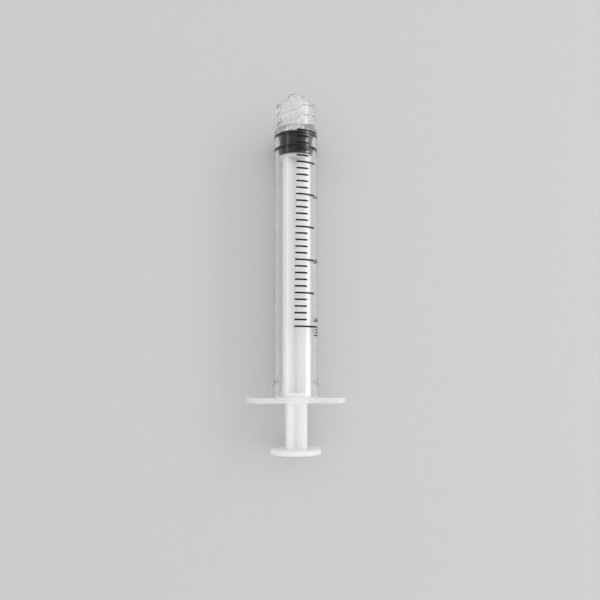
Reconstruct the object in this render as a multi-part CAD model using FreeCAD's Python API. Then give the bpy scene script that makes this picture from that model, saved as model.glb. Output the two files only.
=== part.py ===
"""A 3 ml disposable syringe with a threaded luer lock collar, lying on its side.

The object is four things. The barrel is one clear polypropylene moulding: a tube with a coned end wall,
the luer cone and its lock collar in front, and the two finger wings at the back. The stopper is black
rubber, with two sealing ribs and a pocket moulded in its back. The plunger rod is one milky polypropylene
moulding of cross section, with a mushroom head that snaps into that pocket, a disc behind the stopper, a
second disc just inside the mouth of the barrel, a slimmer neck and the thumb rest. The printed scale is
31 ink lines on the outside of the barrel.

The frame: the syringe's axis is the Y axis, the tip points to +Y, Z is up. The origin is the centre of
the tip's end face. The finger wings lie flat along X. All sizes are in millimetres. The plunger is home,
as it is packed, with the stopper on the zero line.
"""

import math
import os

import FreeCAD
import Part

V = FreeCAD.Vector
AXIS_POINT = V(0, 0, 0)
AXIS = V(0, 1, 0)
TOLERANCE = 1e-4

# Driving dimensions: the bore and the printed scale.
bore_diameter = 8.9
capacity_ml = 3.0
graduation_ml = 0.1
lines_to_a_long_one = 5

# The barrel's walls.
barrel_wall = 0.93
end_wall = 1.5
end_cone_depth = 0.9
shoulder_round = 0.7
barrel_behind_zero = 65.1
mouth_lead_in = 0.25

# A thicker band next to the wings, and the bead inside it that stops the stopper.
band_length = 3.4
band_extra_radius = 0.2
bead_inside_mouth = 4.8
bead_height = 0.14
bead_length = 0.9

# The luer cone, its channel and the lock collar. The cone narrows by 6 parts in 100.
tip_end_diameter = 3.97
tip_length = 8.9
luer_taper = 0.06
channel_diameter = 1.9
tip_edge_break = 0.25
tip_beyond_collar = 2.7
collar_bore_diameter = 8.1
collar_wall = 0.8
collar_mouth_chamfer = 0.25

# The double-start lock thread inside the collar.
thread_starts = 2
thread_lead = 5.0
thread_depth = 0.45
thread_crest_width = 0.45
thread_flank_slope = 0.9
thread_bury = 0.15
thread_mouth_ramp = 1.0
thread_turned_by_deg = 28.0

# The finger wings: a disc with two flats and rounded corners.
wing_span = 24.1
wing_flat_ledge = 0.52
wing_thickness = 1.3
wing_corner_radius = 2.6
wing_edge_break = 0.2
wing_root_slope = 0.4

# The stopper. Its ribs seal on the bore, and the rest of it stands clear.
stopper_length = 5.5
rib_clearance = 0.02
rib_length = 0.9
second_rib_behind_front = 3.4
waist_inset = 0.42
stopper_cone_height = 0.8
stopper_front_gap = 0.1
stopper_edge_break = 0.2

# The mushroom head and its pocket in the stopper.
head_diameter = 4.6
head_length = 1.5
head_tip_diameter = 2.4
neck_diameter = 3.0
neck_length = 1.9
pocket_clearance = 0.05

# The plunger rod. Its ribs and its front disc run through the bead with room to spare.
rod_clearance_in_bead = 0.31
front_disc_clearance_in_bead = 0.21
rib_thickness = 1.3
rod_turned_by_deg = 45.0
disc_thickness = 0.9
slim_span = 6.2
back_disc_ledge = 0.6
back_disc_inside_mouth = 2.5
rib_edge_round = 0.18
disc_edge_break = 0.15
rod_gap_behind_stopper = 0.05

# The thumb rest.
rod_showing = 11.1
thumb_diameter = 12.2
thumb_thickness = 1.15
thumb_edge_break = 0.3
thumb_root_slope = 0.4
gate_diameter = 1.6
gate_depth = 0.2

# The ink lines. The print runs a little askew round the barrel.
ink_thickness = 0.03
line_width = 0.4
line_start_deg = -1.6
short_line_deg = 33.0
long_line_deg = 57.0
end_line_deg = 68.0
print_skew_deg = 7.5

# Stations along the axis, measured back from the tip's end.
bore_radius = bore_diameter / 2
shoulder_y = -tip_length
bore_end_y = shoulder_y - end_wall
zero_y = bore_end_y - stopper_front_gap
wing_front_y = zero_y - barrel_behind_zero
barrel_back_y = wing_front_y - wing_thickness
collar_mouth_y = -tip_beyond_collar
thumb_front_y = barrel_back_y - rod_showing
thumb_back_y = thumb_front_y - thumb_thickness
stopper_back_y = zero_y - stopper_length
rod_front_y = stopper_back_y - rod_gap_behind_stopper

# Radii of the barrel and of what runs in it.
barrel_radius = bore_radius + barrel_wall
band_radius = barrel_radius + band_extra_radius
tip_end_radius = tip_end_diameter / 2
tip_base_radius = tip_end_radius + tip_length * luer_taper / 2
channel_radius = channel_diameter / 2
collar_bore_radius = collar_bore_diameter / 2
collar_radius = collar_bore_radius + collar_wall
rib_radius = bore_radius - rib_clearance
bead_radius = bore_radius - bead_height
rod_reach = bead_radius - rod_clearance_in_bead
front_disc_radius = bead_radius - front_disc_clearance_in_bead
back_disc_radius = slim_span / 2 + back_disc_ledge


def revolved(points):
    """A solid turned round the axis from an outline of (radius, y) corners."""
    corners = [V(r, y, 0) for r, y in points]
    wire = Part.makePolygon(corners + corners[:1])
    return Part.Face(wire).revolve(AXIS_POINT, AXIS, 360)


def ring_edges(solid, rings):
    """The round edges of a turned solid at the given (radius, y) places."""
    chosen = []
    for edge in solid.Edges:
        if not isinstance(edge.Curve, Part.Circle):
            continue
        centre = edge.Curve.Center
        for r, y in rings:
            if abs(edge.Curve.Radius - r) < TOLERANCE and abs(centre.y - y) < TOLERANCE:
                chosen.append(edge)
    return chosen


def wing_plate():
    """The finger wings: a disc cut by two flats, with rounded corners and broken edges."""
    wing_depth = 2 * (band_radius + wing_flat_ledge)
    disc = Part.makeCylinder(wing_span / 2, wing_thickness, V(0, barrel_back_y, 0), AXIS)
    slab = Part.makeBox(wing_span, wing_thickness, wing_depth)
    slab.translate(V(-wing_span / 2, barrel_back_y, -wing_depth / 2))
    plate = disc.common(slab)
    corners = [e for e in plate.Edges if is_along_axis(e)]
    plate = plate.makeFillet(wing_corner_radius, corners)
    rims = [e for e in plate.Edges if not is_along_axis(e)]
    return plate.makeChamfer(wing_edge_break, rims)


def is_along_axis(edge):
    """True for a straight edge that runs along the syringe."""
    if not isinstance(edge.Curve, Part.Line):
        return False
    return abs(abs(edge.tangentAt(edge.FirstParameter).y) - 1) < 1e-6


def barrel_outside():
    """The shoulder, the tube, the band and the wings, as one solid lump."""
    middle = shoulder_round * (1 - math.cos(math.pi / 4))
    band_y = wing_front_y + band_length
    root = min(wing_root_slope, 0.8 * wing_flat_ledge)
    middle_y = barrel_back_y + wing_thickness / 2
    tube = revolved([
        (0, shoulder_y),
        (barrel_radius - shoulder_round, shoulder_y),
        (barrel_radius - middle, shoulder_y - middle),
        (barrel_radius, shoulder_y - shoulder_round),
        (barrel_radius, band_y),
        (band_radius, band_y - 2 * band_extra_radius),
        (band_radius, wing_front_y + root),
        (band_radius + root, wing_front_y),
        (band_radius + root, middle_y),
        (0, middle_y),
    ])
    return tube.fuse(wing_plate()).removeSplitter()


def luer_cone():
    """The male cone in front of the shoulder, with its edge broken."""
    cone = revolved([
        (0, 0),
        (tip_end_radius, 0),
        (tip_base_radius, shoulder_y),
        (tip_base_radius, shoulder_y - end_wall / 2),
        (0, shoulder_y - end_wall / 2),
    ])
    return cone.makeChamfer(tip_edge_break, ring_edges(cone, [(tip_end_radius, 0)]))


def lock_collar():
    """The sleeve round the cone, with its thread, and a mouth that opens outwards."""
    root_y = shoulder_y - end_wall / 2
    sleeve = revolved([
        (collar_bore_radius, root_y),
        (collar_bore_radius, collar_mouth_y - collar_mouth_chamfer),
        (collar_bore_radius + collar_mouth_chamfer, collar_mouth_y),
        (collar_radius - tip_edge_break, collar_mouth_y),
        (collar_radius, collar_mouth_y - tip_edge_break),
        (collar_radius, root_y),
    ])
    room = thread_room(root_y)
    for start in range(thread_starts):
        ridge = thread_ridge(root_y, 360 * start / thread_starts).common(room)
        sleeve = sleeve.fuse(ridge)
    return sleeve


def thread_ridge(back_y, turned_by_deg):
    """One start of the thread: a ridge swept along a right-hand helix, past both ends of the collar."""
    root = collar_bore_radius + thread_bury
    crest = collar_bore_radius - thread_depth
    half_crest = thread_crest_width / 2
    half_root = half_crest + thread_flank_slope * (root - crest)
    corners = [
        V(root, 0, -half_root),
        V(crest, 0, -half_crest),
        V(crest, 0, half_crest),
        V(root, 0, half_root),
    ]
    outline = Part.makePolygon(corners + corners[:1])
    length = collar_mouth_y - back_y + 2 * thread_bury
    helix = Part.makeHelix(thread_lead, length, collar_bore_radius)
    ridge = Part.Wire(helix.Edges).makePipeShell([outline], True, True)
    ridge.rotate(AXIS_POINT, V(1, 0, 0), -90)
    ridge.translate(V(0, back_y - half_root, 0))
    ridge.rotate(AXIS_POINT, AXIS, thread_turned_by_deg + turned_by_deg)
    return ridge


def thread_room(back_y):
    """The space that the ridges may fill. It narrows at the mouth, so that they start from nothing."""
    crest = collar_bore_radius - thread_depth
    inner = (tip_base_radius + crest) / 2
    outer = collar_bore_radius + collar_wall / 2
    ramp_y = collar_mouth_y - collar_mouth_chamfer - thread_mouth_ramp
    end_y = ramp_y + thread_mouth_ramp * (outer - inner) / (collar_bore_radius - inner)
    return revolved([
        (inner, back_y + end_wall / 4),
        (inner, ramp_y),
        (outer, end_y),
        (outer, back_y + end_wall / 4),
    ])


def barrel_inside():
    """What is hollow: the bore with its coned end, the channel, the mouth and the stop bead."""
    cone_y = bore_end_y + end_cone_depth
    bead_y = barrel_back_y + bead_inside_mouth
    half = bead_length / 2
    hollow = revolved([
        (0, cone_y),
        (channel_radius, cone_y),
        (bore_radius, bore_end_y),
        (bore_radius, bead_y + half),
        (bead_radius, bead_y),
        (bore_radius, bead_y - half),
        (bore_radius, barrel_back_y + mouth_lead_in),
        (bore_radius + mouth_lead_in, barrel_back_y),
        (bore_radius + mouth_lead_in, barrel_back_y - wing_thickness),
        (0, barrel_back_y - wing_thickness),
    ])
    channel = Part.makeCylinder(channel_radius, tip_length + end_wall, V(0, cone_y, 0), AXIS)
    return hollow.fuse(channel)


def make_barrel():
    solid = barrel_outside().fuse([luer_cone(), lock_collar()])
    return solid.cut(barrel_inside()).removeSplitter()


def pocket_outline(extra):
    """Outline of the mushroom head, or with extra all round, of the pocket that holds it."""
    neck_end_y = stopper_back_y + neck_length - extra
    head_end_y = stopper_back_y + neck_length + head_length + extra
    back_y = rod_front_y if extra == 0 else stopper_back_y
    return [
        (0, head_end_y),
        (head_tip_diameter / 2 + extra, head_end_y),
        (head_diameter / 2 + extra, neck_end_y + extra),
        (head_diameter / 2 + extra, neck_end_y),
        (neck_diameter / 2 + extra, neck_end_y),
        (neck_diameter / 2 + extra, back_y),
        (0, back_y),
    ]


def make_stopper():
    waist = rib_radius - waist_inset
    first_back_y = zero_y - rib_length
    second_front_y = zero_y - second_rib_behind_front
    second_back_y = second_front_y - rib_length
    slope = waist_inset / 2
    body = revolved([
        (0, zero_y + stopper_cone_height),
        (channel_radius, zero_y + stopper_cone_height),
        (rib_radius, zero_y),
        (rib_radius, first_back_y),
        (waist, first_back_y - slope),
        (waist, second_front_y + slope),
        (rib_radius, second_front_y),
        (rib_radius, second_back_y),
        (waist, second_back_y - slope),
        (waist, stopper_back_y),
        (0, stopper_back_y),
    ])
    body = body.makeChamfer(stopper_edge_break, ring_edges(body, [(waist, stopper_back_y)]))
    return body.cut(revolved(pocket_outline(pocket_clearance)))


def cross(span, front_y, back_y):
    """Two crossed ribs between two stations, with softened edges, square to the wings."""
    length = front_y - back_y
    upright = Part.makeBox(rib_thickness, length, span)
    upright.translate(V(-rib_thickness / 2, back_y, -span / 2))
    level = Part.makeBox(span, length, rib_thickness)
    level.translate(V(-span / 2, back_y, -rib_thickness / 2))
    both = upright.fuse(level).removeSplitter()
    tips = [e for e in both.Edges if is_along_axis(e) and reach(e) > span / 2]
    return both.makeFillet(rib_edge_round, tips)


def reach(edge):
    """How far an edge that runs along the syringe lies from its axis."""
    point = edge.Vertexes[0].Point
    return math.hypot(point.x, point.z)


def rod_disc(radius, front_y):
    """A round disc across the ribs, with its rims broken."""
    back_y = front_y - disc_thickness
    disc = Part.makeCylinder(radius, disc_thickness, V(0, back_y, 0), AXIS)
    rims = ring_edges(disc, [(radius, front_y), (radius, back_y)])
    return disc.makeChamfer(disc_edge_break, rims)


def thumb_rest():
    """The round pad at the end of the rod, with the mark that the gate leaves in its middle."""
    radius = thumb_diameter / 2
    pad = Part.makeCylinder(radius, thumb_thickness, V(0, thumb_back_y, 0), AXIS)
    rims = ring_edges(pad, [(radius, thumb_front_y), (radius, thumb_back_y)])
    pad = pad.makeChamfer(thumb_edge_break, rims)
    gate = Part.makeCylinder(gate_diameter / 2, gate_depth, V(0, thumb_back_y, 0), AXIS)
    return pad.cut(gate)


def make_plunger_rod():
    back_disc_y = barrel_back_y + back_disc_inside_mouth
    joint_y = back_disc_y - disc_thickness / 2
    head = revolved(pocket_outline(0))
    long_ribs = cross(2 * rod_reach, rod_front_y - disc_thickness / 2, joint_y)
    slim_ribs = cross(slim_span, joint_y, thumb_front_y - thumb_thickness / 2)
    slim_end = slim_ribs.fuse(thumb_rest())
    roots = [e for e in slim_end.Edges if lies_at(e, thumb_front_y) and reach(e) < slim_span / 2 + TOLERANCE]
    slim_end = slim_end.makeChamfer(thumb_root_slope, roots)
    front_disc = rod_disc(front_disc_radius, rod_front_y)
    back_disc = rod_disc(back_disc_radius, back_disc_y)
    rod = head.fuse([front_disc, back_disc, long_ribs, slim_end]).removeSplitter()
    rod.rotate(AXIS_POINT, AXIS, rod_turned_by_deg)
    return rod


def lies_at(edge, y):
    """True for an edge that lies in the plane across the axis at a station."""
    box = edge.BoundBox
    return abs(box.YMin - y) < TOLERANCE and abs(box.YMax - y) < TOLERANCE


def ink_line(y, start_deg, sweep_deg):
    """One line of the scale: a thin band of ink round part of the barrel."""
    front_y = y + line_width / 2
    back_y = y - line_width / 2
    outer = barrel_radius + ink_thickness
    corners = [
        V(0, front_y, barrel_radius),
        V(0, front_y, outer),
        V(0, back_y, outer),
        V(0, back_y, barrel_radius),
    ]
    outline = Part.Face(Part.makePolygon(corners + corners[:1]))
    band = outline.revolve(AXIS_POINT, AXIS, sweep_deg)
    band.rotate(AXIS_POINT, AXIS, start_deg)
    return band


def make_printed_scale():
    bore_area = math.pi * bore_radius**2
    scale_length = capacity_ml * 1000 / bore_area
    count = round(capacity_ml / graduation_ml)
    lines = []
    for i in range(count + 1):
        share = i / count
        if i in (0, count):
            sweep = end_line_deg
        elif i % lines_to_a_long_one == 0:
            sweep = long_line_deg
        else:
            sweep = short_line_deg
        start = line_start_deg - print_skew_deg * share
        lines.append(ink_line(zero_y - scale_length * share, start, sweep))
    return Part.makeCompound(lines)


def check_and_export(name, shape):
    for solid in shape.Solids:
        if not solid.isValid():
            raise ValueError(f"{name} has a solid that is not valid")
    shape.exportStep(os.path.join("parts", name + ".step"))
    box = shape.BoundBox
    print(
        f"{name}: {len(shape.Solids)} solid(s), {shape.Volume:.2f} mm3, "
        f"x {box.XMin:.2f} to {box.XMax:.2f}, y {box.YMin:.2f} to {box.YMax:.2f}, "
        f"z {box.ZMin:.2f} to {box.ZMax:.2f}"
    )


os.makedirs("parts", exist_ok=True)
check_and_export("barrel", make_barrel())
check_and_export("stopper", make_stopper())
check_and_export("plunger_rod", make_plunger_rod())
check_and_export("printed_scale", make_printed_scale())
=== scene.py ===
import math

import bmesh
import bpy
from mathutils import Matrix, Vector


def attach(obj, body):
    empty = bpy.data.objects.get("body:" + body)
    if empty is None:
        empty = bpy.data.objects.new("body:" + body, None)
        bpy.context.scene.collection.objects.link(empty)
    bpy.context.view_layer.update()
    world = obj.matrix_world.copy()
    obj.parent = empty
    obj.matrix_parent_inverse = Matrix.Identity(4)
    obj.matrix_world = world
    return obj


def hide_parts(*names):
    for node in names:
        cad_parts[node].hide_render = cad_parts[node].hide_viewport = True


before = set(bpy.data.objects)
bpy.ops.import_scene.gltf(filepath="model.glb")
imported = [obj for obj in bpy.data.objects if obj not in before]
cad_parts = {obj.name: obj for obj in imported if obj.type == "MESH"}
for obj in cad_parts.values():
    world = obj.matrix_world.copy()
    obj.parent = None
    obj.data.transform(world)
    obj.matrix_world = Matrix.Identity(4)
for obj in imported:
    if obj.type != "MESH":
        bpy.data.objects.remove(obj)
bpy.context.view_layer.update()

mm = 0.001
ACROSS = (0, 1, 0)


# The barrel. One clear polypropylene injection moulding: the tube with its coned end wall, the luer cone
# and the lock collar in front, and the finger wings at the back. It is turned from one outline, and the
# wings' rim is bridged on.

around = 160
tube_radius = 5.38
bore_radius = 4.45
wing_front = -75.6
wing_back = -76.9
wing_reach = 12.05
wing_half_depth = 6.1
wing_corner = 2.6
wing_edge = 0.2
edge_steps = 5
flat_steps = 24
arc_steps = 8
# Radii at which the turned outline meets the wings, in front and at the back.
front_ring = 5.85
back_ring = 5.3
# Edges that turn by more degrees than this stay sharp in the shading.
sharp_from = 38

# Corners of the outline as radius, station and rounding, from the wings forward and back through the bore.
barrel_corners = [
    (front_ring, wing_front, 0), (5.58, wing_front, 0.25), (5.58, -72.6, 0.2), (tube_radius, -72.2, 0.2),
    (tube_radius, -9.6, 0.18), (5.175, -9.105, 0.18), (4.85, -8.92, 0.08), (4.85, -2.7, 0.25),
    (4.05, -2.7, 0.25), (4.05, -8.9, 0.3), (2.252, -8.9, 0.3), (1.985, 0, 0.25), (0.95, 0, 0.15),
    (0.95, -9.5, 0.15), (bore_radius, -10.4, 0.15), (bore_radius, -71.65, 0.1), (4.31, -72.1, 0.2),
    (bore_radius, -72.55, 0.1), (bore_radius, -76.65, 0.1), (4.7, wing_back, 0.1),
    (back_ring, wing_back, 0),
]


def rounded_wire(corners, steps=5):
    """A wire through corners of radius, station and rounding, open between the last and the first."""
    bm = bmesh.new()
    verts = [bm.verts.new((r * mm, y * mm, 0)) for r, y, soft in corners]
    bm.faces.new(verts)
    start, end = verts[0], verts[-1]
    for size in sorted({soft for r, y, soft in corners if soft}):
        chosen = [v for v, corner in zip(verts, corners) if corner[2] == size]
        bmesh.ops.bevel(bm, geom=chosen, offset=size * mm, offset_type="OFFSET", segments=steps, profile=0.5,
                        affect="VERTICES", material=-1, clamp_overlap=True)
    bmesh.ops.delete(bm, geom=bm.faces[:], context="FACES_ONLY")
    bm.edges.remove(bm.edges.get((start, end)))
    return bm


def turn(bm, steps):
    """Turns all of a wire round the syringe's axis and closes the seam and the poles."""
    bmesh.ops.spin(bm, geom=bm.verts[:] + bm.edges[:], cent=(0, 0, 0), axis=ACROSS, angle=2 * math.pi,
                   steps=steps, use_merge=True, use_duplicate=False)
    bmesh.ops.remove_doubles(bm, verts=bm.verts[:], dist=0.0005 * mm)
    bmesh.ops.dissolve_degenerate(bm, dist=0.0002 * mm, edges=bm.edges[:])


def smooth(mesh):
    """Shades a mesh smooth, with its sharper edges kept."""
    mesh.polygons.foreach_set("use_smooth", [True] * len(mesh.polygons))
    mesh.set_sharp_from_angle(angle=math.radians(sharp_from))


def shown(bm, name):
    """Makes an object of what is in bm."""
    bmesh.ops.recalc_face_normals(bm, faces=bm.faces[:])
    mesh = bpy.data.meshes.new(name)
    bm.to_mesh(mesh)
    bm.free()
    smooth(mesh)
    piece = bpy.data.objects.new(name, mesh)
    bpy.context.scene.collection.objects.link(piece)
    return piece


def even_normals(piece):
    """Lets the large faces set the shading, so that flats stay flat next to small rounds."""
    weigh = piece.modifiers.new("even_normals", "WEIGHTED_NORMAL")
    weigh.mode = "FACE_AREA"
    weigh.weight = 60
    weigh.keep_sharp = True


def joined(base, others):
    """One closed mesh of a piece and the solids that are moulded with it."""
    for other in others:
        union = base.modifiers.new("with_" + other.name, "BOOLEAN")
        union.operation = "UNION"
        union.solver = "EXACT"
        union.object = other
    graph = bpy.context.evaluated_depsgraph_get()
    mesh = bpy.data.meshes.new_from_object(base.evaluated_get(graph))
    mesh.name = base.name
    base.modifiers.clear()
    base.data = mesh
    for other in others:
        bpy.data.objects.remove(other)
    smooth(mesh)
    return base


def wing_outline(bm, inset, station):
    """One loop round the wings: end arcs, corner arcs and flats, all drawn inset by the same amount."""
    before = set(bm.edges)
    corner_z = wing_half_depth - wing_corner
    corner_x = math.sqrt((wing_reach - wing_corner) ** 2 - corner_z ** 2)
    lean = math.atan2(corner_z, corner_x)
    y = station * mm
    seed = bm.verts.new(((wing_reach - inset) * mm, y, 0))
    arc = bmesh.ops.spin(bm, geom=[seed], cent=(0, y, 0), axis=(0, -1, 0), angle=lean, steps=arc_steps)
    last = [g for g in arc["geom_last"] if isinstance(g, bmesh.types.BMVert)]
    arc = bmesh.ops.spin(bm, geom=last, cent=(corner_x * mm, y, corner_z * mm), axis=(0, -1, 0),
                         angle=math.pi / 2 - lean, steps=arc_steps)
    last = [g for g in arc["geom_last"] if isinstance(g, bmesh.types.BMVert)]
    for step in range(flat_steps):
        last = bmesh.ops.extrude_vert_indiv(bm, verts=last)["verts"]
        bmesh.ops.translate(bm, verts=last, vec=(-corner_x * mm / flat_steps, 0, 0))
    for axis in ("X", "Z"):
        new = [e for e in bm.edges if e not in before]
        points = list({v for e in new for v in e.verts})
        bmesh.ops.mirror(bm, geom=points + new, matrix=Matrix.Identity(4), merge_dist=0.001 * mm, axis=axis)
    return [e for e in bm.edges if e not in before]


def ring_at(bm, radius, station):
    """The open round edge of the turned shell at a radius and station."""
    return [e for e in bm.edges if e.is_boundary and all(
        abs(math.hypot(v.co.x, v.co.z) - radius * mm) < 0.01 * mm and abs(v.co.y - station * mm) < 0.01 * mm
        for v in e.verts)]


barrel_shell = rounded_wire(barrel_corners)
turn(barrel_shell, around)
rings = [ring_at(barrel_shell, front_ring, wing_front)]
for step in range(edge_steps):
    lean = math.pi / 2 * step / (edge_steps - 1)
    rings.append(wing_outline(barrel_shell, wing_edge * (1 - math.sin(lean)),
                              wing_front - wing_edge * (1 - math.cos(lean))))
for step in range(edge_steps):
    lean = math.pi / 2 * step / (edge_steps - 1)
    rings.append(wing_outline(barrel_shell, wing_edge * (1 - math.cos(lean)),
                              wing_back + wing_edge * (1 - math.sin(lean))))
rings.append(ring_at(barrel_shell, back_ring, wing_back))
for first, second in zip(rings, rings[1:]):
    bmesh.ops.bridge_loops(barrel_shell, edges=first + second)
barrel = shown(barrel_shell, "barrel_clear_moulding")

# The lock thread: two ridges of trapezoid section inside the collar, right-handed, half a turn apart,
# each starting from nothing behind the mouth. They are part of the barrel's moulding.

thread_lead = 5.0
thread_root = 4.15
thread_crest = 3.6
crest_width = 0.45
crest_round = 0.09
flank_slope = 0.9
thread_start = -9.35
thread_length = 6.5
thread_steps = 112
# The first ridge is uppermost at this station.
thread_top = -4.554
# Forward of the first station the ridges fade: their least radius there, and how fast it grows.
fade_start = -3.95
fade_radius = 3.2
fade_slope = 0.85


def thread_ridge(name, turned):
    """One start of the thread."""
    bm = bmesh.new()
    half_crest = crest_width / 2
    half_root = half_crest + flank_slope * (thread_root - thread_crest)
    section = [(thread_root, -half_root), (thread_crest, -half_crest), (thread_crest, half_crest),
               (thread_root, half_root)]
    verts = [bm.verts.new((0, (thread_start + y) * mm, r * mm)) for r, y in section]
    bm.faces.new(verts)
    crest = [v for v in verts if v.co.z < (thread_crest + 0.01) * mm]
    bmesh.ops.bevel(bm, geom=crest, offset=crest_round * mm, offset_type="OFFSET", segments=3, profile=0.5,
                    affect="VERTICES", material=-1)
    sweep = 2 * math.pi * thread_length / thread_lead
    start = turned + 2 * math.pi * (thread_start - thread_top) / thread_lead
    bmesh.ops.rotate(bm, verts=bm.verts[:], cent=(0, 0, 0), matrix=Matrix.Rotation(start, 3, "Y"))
    bmesh.ops.spin(bm, geom=bm.faces[:] + bm.edges[:] + bm.verts[:], cent=(0, 0, 0), axis=ACROSS, angle=sweep,
                   dvec=(0, thread_length * mm / thread_steps, 0), steps=thread_steps)
    for v in bm.verts:
        if v.co.y > fade_start * mm:
            radius = math.hypot(v.co.x, v.co.z)
            least = (fade_radius + fade_slope * (v.co.y - fade_start * mm) / mm) * mm
            if radius < least:
                scale = min(least, thread_root * mm) / radius
                v.co.x *= scale
                v.co.z *= scale
    return shown(bm, name)


joined(barrel, [thread_ridge("thread_start_1", 0), thread_ridge("thread_start_2", math.pi)])
even_normals(barrel)


class Socket:
    """An output in a material. Sums and products of these add their Math nodes."""

    def __init__(self, tree, link=None):
        self.tree = tree
        self.link = link

    def node(self, kind, settings=None, sockets=None, out=0):
        """Adds any node: its settings first, then the values or links of its sockets."""
        made = self.tree.nodes.new(kind)
        for name, value in (settings or {}).items():
            setattr(made, name, value)
        for name, value in (sockets or {}).items():
            if isinstance(value, Socket):
                self.tree.links.new(value.link, made.inputs[name])
            else:
                made.inputs[name].default_value = value
        return Socket(self.tree, made.outputs[out]) if made.outputs else None

    def math(self, operation, first, second):
        return self.node("ShaderNodeMath", {"operation": operation}, {0: first, 1: second})

    def __add__(self, other):
        return self.math("ADD", self, other)

    def __radd__(self, other):
        return self.math("ADD", other, self)

    def __sub__(self, other):
        return self.math("SUBTRACT", self, other)

    def __rsub__(self, other):
        return self.math("SUBTRACT", other, self)

    def __mul__(self, other):
        return self.math("MULTIPLY", self, other)

    def __rmul__(self, other):
        return self.math("MULTIPLY", other, self)


def new_material(name):
    """An empty material, and the socket that its nodes are added from."""
    material = bpy.data.materials.new(name)
    material.use_nodes = True
    material.node_tree.nodes.clear()
    return material, Socket(material.node_tree)


def along_the_flow(start, across, along):
    """A place in the piece, stretched so that a pattern runs along the syringe as the plastic flowed."""
    place = start.node("ShaderNodeTexCoord", out="Object")
    return start.node("ShaderNodeMapping", {}, {"Vector": place, "Scale": (across, along, across)})


# Clear natural polypropylene. It lets light through with a trace of haze, and its skin has faint flow
# lines along the syringe and a very slight ripple.

clear, start = new_material("clear_polypropylene")
flow = start.node("ShaderNodeTexNoise", {}, {
    "Vector": along_the_flow(start, 900, 60), "Scale": 1.0, "Detail": 3.0, "Roughness": 0.55}, "Fac")
ripple = start.node("ShaderNodeTexNoise", {}, {
    "Vector": along_the_flow(start, 260, 90), "Scale": 1.0, "Detail": 1.5}, "Fac")
bump = start.node("ShaderNodeBump", {}, {
    "Strength": 0.35, "Distance": 0.00002, "Height": flow * 0.4 + ripple})
tint = start.node("ShaderNodeMix", {"data_type": "RGBA"},
                  {0: ripple, 6: (0.985, 0.99, 0.992, 1), 7: (0.998, 1.0, 1.0, 1)}, 2)
glassy = start.node("ShaderNodeBsdfPrincipled", {}, {
    "Base Color": tint, "Roughness": 0.04 + 0.07 * flow, "IOR": 1.49, "Transmission Weight": 1.0,
    "Normal": bump}, "BSDF")
haze = start.node("ShaderNodeBsdfPrincipled", {}, {
    "Base Color": (0.79, 0.8, 0.8, 1), "Roughness": 0.2 + 0.1 * flow, "IOR": 1.49, "Subsurface Weight": 0.4,
    "Subsurface Radius": (1, 1, 1), "Subsurface Scale": 0.002, "Normal": bump}, "BSDF")
# The wings look milky, and the thick front with the cone and the collar a little.
place = start.node("ShaderNodeTexCoord", out="Object")
station = start.node("ShaderNodeSeparateXYZ", {}, {"Vector": place}, "Y")
in_wings = start.node("ShaderNodeMapRange", {"interpolation_type": "SMOOTHSTEP"}, {
    "Value": station, "From Min": -75.2 * mm, "From Max": -75.7 * mm,
    "To Min": 0.0, "To Max": 0.55}, "Result")
in_front = start.node("ShaderNodeMapRange", {"interpolation_type": "SMOOTHSTEP"}, {
    "Value": station, "From Min": -10.2 * mm, "From Max": -8.8 * mm,
    "To Min": 0.0, "To Max": 0.12}, "Result")
solid = start.node("ShaderNodeMixShader", {}, {
    0: 0.006 + 0.01 * ripple + in_wings + in_front, 1: glassy, 2: haze})
# Light on its way to the rod and the table goes straight through the walls.
let_light_in = start.node("ShaderNodeLightPath", out="Is Shadow Ray") + start.node(
    "ShaderNodeLightPath", out="Is Diffuse Ray")
open_wall = start.node("ShaderNodeBsdfTransparent", {}, {"Color": (0.985, 0.99, 0.99, 1)}, "BSDF")
surface = start.node("ShaderNodeMixShader", {}, {0: let_light_in, 1: solid, 2: open_wall})
start.node("ShaderNodeOutputMaterial", {}, {"Surface": surface})
barrel.data.materials.clear()
barrel.data.materials.append(clear)
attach(barrel, "barrel")
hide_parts("barrel")


# The stopper. Black synthetic rubber, moulded: a low cone in front, two sealing ribs that bear on the
# bore, and a pocket in its back that the rod's head snaps into.

stopper_corners = [
    (0, -9.7, 0), (0.95, -9.7, 0.3), (4.47, -10.5, 0.12), (4.47, -11.4, 0.14), (4.01, -11.75, 0.25),
    (4.01, -13.6, 0.25), (4.47, -13.9, 0.14), (4.47, -14.8, 0.14), (4.01, -15.15, 0.2), (4.01, -16.0, 0.2),
    (1.55, -16.0, 0.15), (1.55, -14.15, 0.15), (2.35, -14.15, 0.1), (2.35, -14.1, 0), (1.25, -12.55, 0.1),
    (0, -12.55, 0),
]
stopper_shell = rounded_wire(stopper_corners)
turn(stopper_shell, around)
stopper = shown(stopper_shell, "stopper_black_rubber")

rubber, start = new_material("black_rubber")
grain = start.node("ShaderNodeTexNoise", {}, {
    "Vector": start.node("ShaderNodeTexCoord", out="Object"), "Scale": 5200.0, "Detail": 4.0}, "Fac")
bloom = start.node("ShaderNodeTexNoise", {}, {
    "Vector": start.node("ShaderNodeTexCoord", out="Object"), "Scale": 420.0, "Detail": 3.0}, "Fac")
bump = start.node("ShaderNodeBump", {}, {"Strength": 0.4, "Distance": 0.00002, "Height": grain})
tone = start.node("ShaderNodeMix", {"data_type": "RGBA"},
                  {0: bloom, 6: (0.004, 0.004, 0.0045, 1), 7: (0.009, 0.009, 0.0095, 1)}, 2)
surface = start.node("ShaderNodeBsdfPrincipled", {}, {
    "Base Color": tone, "Roughness": 0.42 + 0.2 * bloom, "IOR": 1.5, "Specular IOR Level": 0.3,
    "Normal": bump}, "BSDF")
start.node("ShaderNodeOutputMaterial", {}, {"Surface": surface})
stopper.data.materials.append(rubber)
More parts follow.
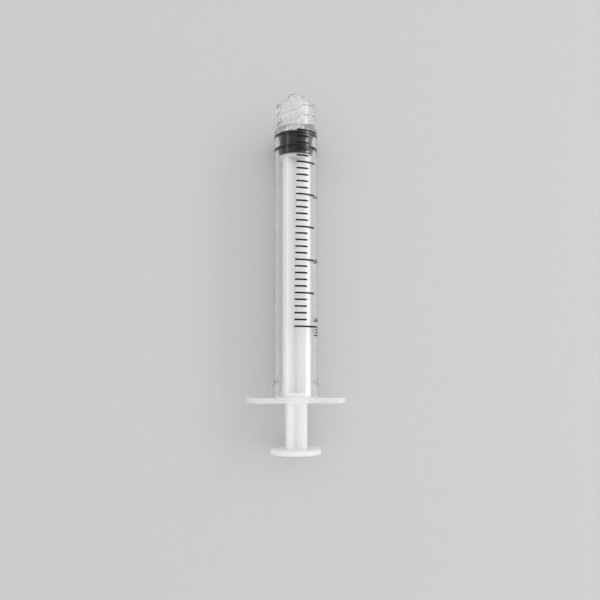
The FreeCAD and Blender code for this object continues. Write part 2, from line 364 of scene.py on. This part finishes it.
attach(stopper, "stopper")
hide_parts("stopper")


# The plunger rod. One milky polypropylene moulding: crossed ribs, a mushroom head, a disc behind the
# stopper, a second disc just inside the mouth of the barrel, a slimmer neck and the thumb rest.

rib_thickness = 1.3
rib_span = 8.0
# Degrees from the wings' flat to the ribs.
rib_turn = 45
neck_span = 6.2
root_round = 0.5
edge_round = 0.14
rod_front = -16.05
neck_front = -74.85
back_disc_front = -74.4
disc_thickness = 0.9
disc_round = 0.15
thumb_front = -88.0

# Corners of the head's and the thumb rest's outlines as radius, station and rounding.
head_corners = [
    (0, -12.6, 0), (1.2, -12.6, 0.15), (2.3, -14.1, 0.15),
    (1.5, -14.1, 0.1), (1.5, -16.5, 0), (0, -16.5, 0),
]
thumb_corners = [
    (0, thumb_front, 0), (6.1, thumb_front, 0.3), (6.1, -89.15, 0.4),
    (0.8, -89.15, 0.08), (0.8, -88.95, 0.08), (0, -88.95, 0),
]


def crossed_ribs(name, span, front, back):
    """Crossed ribs: a square core with each of its long sides drawn out, and rounds where they meet."""
    bm = bmesh.new()
    bmesh.ops.create_cube(bm, size=1)
    bmesh.ops.scale(bm, verts=bm.verts[:], vec=(rib_thickness * mm, (front - back) * mm, rib_thickness * mm))
    bmesh.ops.translate(bm, verts=bm.verts[:], vec=(0, (front + back) / 2 * mm, 0))
    bm.normal_update()
    sides = [f for f in bm.faces if abs(f.normal.y) < 0.5]
    drawn = bmesh.ops.extrude_discrete_faces(bm, faces=sides)["faces"]
    bm.normal_update()
    for face in drawn:
        bmesh.ops.translate(bm, verts=face.verts[:], vec=face.normal * (span - rib_thickness) / 2 * mm)
    roots = [e for e in bm.edges if all(math.hypot(v.co.x, v.co.z) < rib_thickness * mm for v in e.verts)
             and e.calc_length() > 2 * rib_thickness * mm]
    bmesh.ops.bevel(bm, geom=roots, offset=root_round * mm, offset_type="OFFSET", segments=6, profile=0.5,
                    affect="EDGES", material=-1)
    return shown(bm, name)


def turned_piece(name, corners, round_steps, steps):
    """A turned part of the rod."""
    bm = rounded_wire(corners, round_steps)
    turn(bm, steps)
    return shown(bm, name)


def round_disc(name, radius, front):
    """A disc across the rod with soft rims."""
    back = front - disc_thickness
    corners = [(0, front, 0), (radius, front, disc_round), (radius, back, disc_round), (0, back, 0)]
    return turned_piece(name, corners, 3, 128)


# The long ribs start inside the front disc. The neck's ribs start inside them and end inside the thumb rest.
rod = joined(crossed_ribs("plunger_rod_milky_moulding", rib_span, rod_front - 0.4, neck_front), [
    crossed_ribs("neck_ribs", neck_span, neck_front + 0.3, thumb_front - 0.5),
    round_disc("front_disc", 4.1, rod_front),
    round_disc("back_disc", 3.7, back_disc_front),
    turned_piece("mushroom_head", head_corners, 3, 96),
    turned_piece("thumb_rest", thumb_corners, 5, 160),
])
rod.data.transform(Matrix.Rotation(math.radians(rib_turn), 4, "Y"))
# Points that the joins and the rounds leave on top of each other are welded.
weld = rod.modifiers.new("weld_before", "WELD")
weld.merge_threshold = 0.0005 * mm
soft = rod.modifiers.new("soft_edges", "BEVEL")
soft.width = edge_round * mm
soft.segments = 3
soft.limit_method = "ANGLE"
soft.angle_limit = math.radians(50)
soft.use_clamp_overlap = True
weld = rod.modifiers.new("weld_after", "WELD")
weld.merge_threshold = 0.0005 * mm
even_normals(rod)

milky, start = new_material("milky_polypropylene")
flow = start.node("ShaderNodeTexNoise", {}, {
    "Vector": along_the_flow(start, 700, 50), "Scale": 1.0, "Detail": 3.0}, "Fac")
cloud = start.node("ShaderNodeTexNoise", {}, {
    "Vector": along_the_flow(start, 150, 90), "Scale": 1.0, "Detail": 2.0}, "Fac")
bump = start.node("ShaderNodeBump", {}, {"Strength": 0.4, "Distance": 0.00002, "Height": flow})
tone = start.node("ShaderNodeMix", {"data_type": "RGBA"},
                  {0: cloud, 6: (0.975, 0.98, 0.98, 1), 7: (0.99, 0.995, 0.995, 1)}, 2)
surface = start.node("ShaderNodeBsdfPrincipled", {}, {
    "Base Color": tone, "Roughness": 0.28 + 0.18 * flow, "IOR": 1.49, "Subsurface Weight": 1.0,
    "Subsurface Radius": (1.0, 1.0, 1.0), "Subsurface Scale": 0.006, "Transmission Weight": 0.12,
    "Normal": bump}, "BSDF")
start.node("ShaderNodeOutputMaterial", {}, {"Surface": surface})
rod.data.materials.clear()
rod.data.materials.append(milky)
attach(rod, "plunger")
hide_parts("plunger_rod")


# The printed scale. Black ink, screen-printed on the outside of the barrel: 31 lines for 3 ml, each fifth
# one longer and the two end ones longest. The print runs a little askew round the barrel.

ink_low = 5.374
ink_high = 5.405
zero_line = -10.5
ml_length = 1000 / (math.pi * bore_radius ** 2)
last_line = 30
line_width = 0.42
# Degrees round the barrel: where the zero line starts, how far the last line lags, and where numbers stand.
print_start = -1.6
print_skew = 7.5
number_turn = 72
number_height = 1.9
# From the height of a figure to the size that the font is set in.
font_size = 1.38


def line_sweep(i):
    """How many degrees round the barrel a line runs."""
    if i in (0, last_line):
        return 68
    return 57 if i % 5 == 0 else 33


scale_lines = bmesh.new()
for i in range(last_line + 1):
    y = zero_line - ml_length * i / 10
    half = line_width / 2
    corners = [(ink_low, y + half), (ink_high, y + half), (ink_high, y - half), (ink_low, y - half)]
    verts = [scale_lines.verts.new((0, at * mm, r * mm)) for r, at in corners]
    face = scale_lines.faces.new(verts)
    begin = math.radians(print_start - print_skew * i / last_line)
    bmesh.ops.rotate(scale_lines, verts=verts, cent=(0, 0, 0), matrix=Matrix.Rotation(begin, 3, "Y"))
    bmesh.ops.spin(scale_lines, geom=[face] + face.edges[:] + verts, cent=(0, 0, 0), axis=ACROSS,
                   angle=math.radians(line_sweep(i)), steps=max(8, line_sweep(i) // 3))
printed_scale = shown(scale_lines, "printed_scale_lines")


def numeral(bm, text, centre_deg, y, height):
    """A plain number on the barrel. It reads along the syringe, with the tops of its figures to the right."""
    curve = bpy.data.curves.new("numeral", "FONT")
    curve.body = text
    curve.size = height * mm * font_size
    curve.align_x = "CENTER"
    curve.align_y = "CENTER"
    curve.extrude = (ink_high - ink_low) / 2 * mm
    curve.offset = 0.02 * mm
    flat = bpy.data.objects.new("numeral", curve)
    mesh = bpy.data.meshes.new_from_object(flat)
    bpy.data.objects.remove(flat)
    bpy.data.curves.remove(curve)
    glyph = bmesh.new()
    glyph.from_mesh(mesh)
    bpy.data.meshes.remove(mesh)
    bmesh.ops.remove_doubles(glyph, verts=glyph.verts[:], dist=0.0005 * mm)
    # Cut into strips, so that it can follow the barrel.
    for step in range(-8, 9):
        everything = glyph.verts[:] + glyph.edges[:] + glyph.faces[:]
        bmesh.ops.bisect_plane(glyph, geom=everything, plane_co=(0, step * 0.2 * mm, 0), plane_no=(0, 1, 0))
    for v in glyph.verts:
        turned = math.radians(centre_deg) + v.co.y / (tube_radius * mm)
        radius = (ink_low + ink_high) / 2 * mm + v.co.z
        v.co = (radius * math.sin(turned), y * mm - v.co.x, radius * math.cos(turned))
    done = bpy.data.meshes.new("numeral")
    glyph.to_mesh(done)
    glyph.free()
    bm.from_mesh(done)
    bpy.data.meshes.remove(done)


numbers = bmesh.new()
for i, text in ((10, "1"), (20, "2"), (30, "3 ml")):
    lean = print_start - print_skew * i / last_line
    numeral(numbers, text, lean + number_turn, zero_line - ml_length * i / 10, number_height)
scale_numbers = shown(numbers, "printed_scale_numbers")

ink, start = new_material("black_ink")
patch = start.node("ShaderNodeTexNoise", {}, {
    "Vector": start.node("ShaderNodeTexCoord", out="Object"), "Scale": 2600.0, "Detail": 3.0}, "Fac")
tone = start.node("ShaderNodeMix", {"data_type": "RGBA"},
                  {0: patch, 6: (0.003, 0.003, 0.0035, 1), 7: (0.009, 0.009, 0.01, 1)}, 2)
bump = start.node("ShaderNodeBump", {}, {"Strength": 0.3, "Distance": 0.000008, "Height": patch})
surface = start.node("ShaderNodeBsdfPrincipled", {}, {
    "Base Color": tone, "Roughness": 0.45 + 0.2 * patch, "Specular IOR Level": 0.25, "Normal": bump}, "BSDF")
start.node("ShaderNodeOutputMaterial", {}, {"Surface": surface})
for piece in (printed_scale, scale_numbers):
    piece.data.materials.append(ink)
    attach(piece, "barrel")
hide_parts("printed_scale")


# The table that it lies on, touching the wings' flat and the barrel's shoulder, the soft light, and the
# camera where the photograph was taken from.

wings_touch = -75.8
shoulder_touch = -9.6
gap_below = 0.02

floor_mesh = bpy.data.meshes.new("table_top")
bm = bmesh.new()
bmesh.ops.create_grid(bm, x_segments=1, y_segments=1, size=1.5)
rise = math.atan2(wing_half_depth - tube_radius, shoulder_touch - wings_touch)
bmesh.ops.rotate(bm, verts=bm.verts[:], cent=(0, 0, 0), matrix=Matrix.Rotation(rise, 3, "X"))
bmesh.ops.translate(bm, verts=bm.verts[:], vec=(
    0, 0, (-wing_half_depth - gap_below - wings_touch * math.tan(rise)) * mm))
bm.to_mesh(floor_mesh)
bm.free()
table = bpy.data.objects.new("table_top", floor_mesh)
bpy.context.scene.collection.objects.link(table)
paper, start = new_material("pale_table")
speck = start.node("ShaderNodeTexNoise", {}, {
    "Vector": start.node("ShaderNodeTexCoord", out="Object"), "Scale": 900.0, "Detail": 3.0}, "Fac")
tone = start.node("ShaderNodeMix", {"data_type": "RGBA"},
                  {0: speck, 6: (0.55, 0.55, 0.555, 1), 7: (0.58, 0.58, 0.585, 1)}, 2)
surface = start.node("ShaderNodeBsdfPrincipled", {}, {"Base Color": tone, "Roughness": 0.85}, "BSDF")
start.node("ShaderNodeOutputMaterial", {}, {"Surface": surface})
floor_mesh.materials.append(paper)

# A pale room. Mirrored rays see it darker, above all overhead and on the left, so that the black stopper
# keeps its black while the white parts stay bright.
world = bpy.data.worlds.new("soft_light")
bpy.context.scene.world = world
world.use_nodes = True
world.node_tree.nodes.clear()
start = Socket(world.node_tree)
sky = start.node("ShaderNodeTexCoord", out="Generated")
height = start.node("ShaderNodeSeparateXYZ", {}, {"Vector": sky}, "Z")
side = start.node("ShaderNodeSeparateXYZ", {}, {"Vector": sky}, "X")
below_ceiling = start.node("ShaderNodeMapRange", {"interpolation_type": "SMOOTHSTEP"}, {
    "Value": height, "From Min": 0.9, "From Max": 0.5, "To Min": 0.0, "To Max": 1.0}, "Result")
window_side = start.node("ShaderNodeMapRange", {"interpolation_type": "SMOOTHSTEP"}, {
    "Value": side, "From Min": -0.6, "From Max": 0.5, "To Min": 0.15, "To Max": 0.9}, "Result")
mirrored = start.node("ShaderNodeLightPath", out="Is Glossy Ray")
light = start.node("ShaderNodeBackground", {}, {
    "Color": (1, 1, 1, 1), "Strength": 0.96 - mirrored * (0.84 - below_ceiling * window_side)})
start.node("ShaderNodeOutputWorld", {}, {"Surface": light})


def soft_lamp(name, power, long_side, short_side, place, aim):
    """A soft box at a place, facing its aim, with its long side along the syringe."""
    light = bpy.data.lights.new(name, "AREA")
    light.shape = "RECTANGLE"
    light.size = short_side
    light.size_y = long_side
    light.energy = power
    lamp = bpy.data.objects.new(name, light)
    bpy.context.scene.collection.objects.link(lamp)
    back = (Vector(place) - Vector(aim)).normalized()
    right = Vector(ACROSS).cross(back).normalized()
    along = back.cross(right)
    lamp.matrix_world = Matrix.Translation(place) @ Matrix((right, along, back)).transposed().to_4x4()


soft_lamp("soft_box_right", 0.62, 0.50, 0.12, (0.43, -0.045, 0.215), (0, -0.045, 0))
soft_lamp("soft_box_left", 0.1, 0.50, 0.06, (-0.36, -0.045, 0.30), (0, -0.045, 0))

lens = bpy.data.cameras.new("camera")
lens.lens = 41.57
lens.sensor_width = 36
camera = bpy.data.objects.new("camera", lens)
bpy.context.scene.collection.objects.link(camera)
camera.location = (-0.014963, -0.069371, 0.168872)
camera.rotation_mode = "ZYX"
camera.rotation_euler = (0.103, -0.094, 0.008)
bpy.context.scene.camera = camera
lens.clip_start = 0.01
bpy.context.scene.view_settings.view_transform = "Standard"
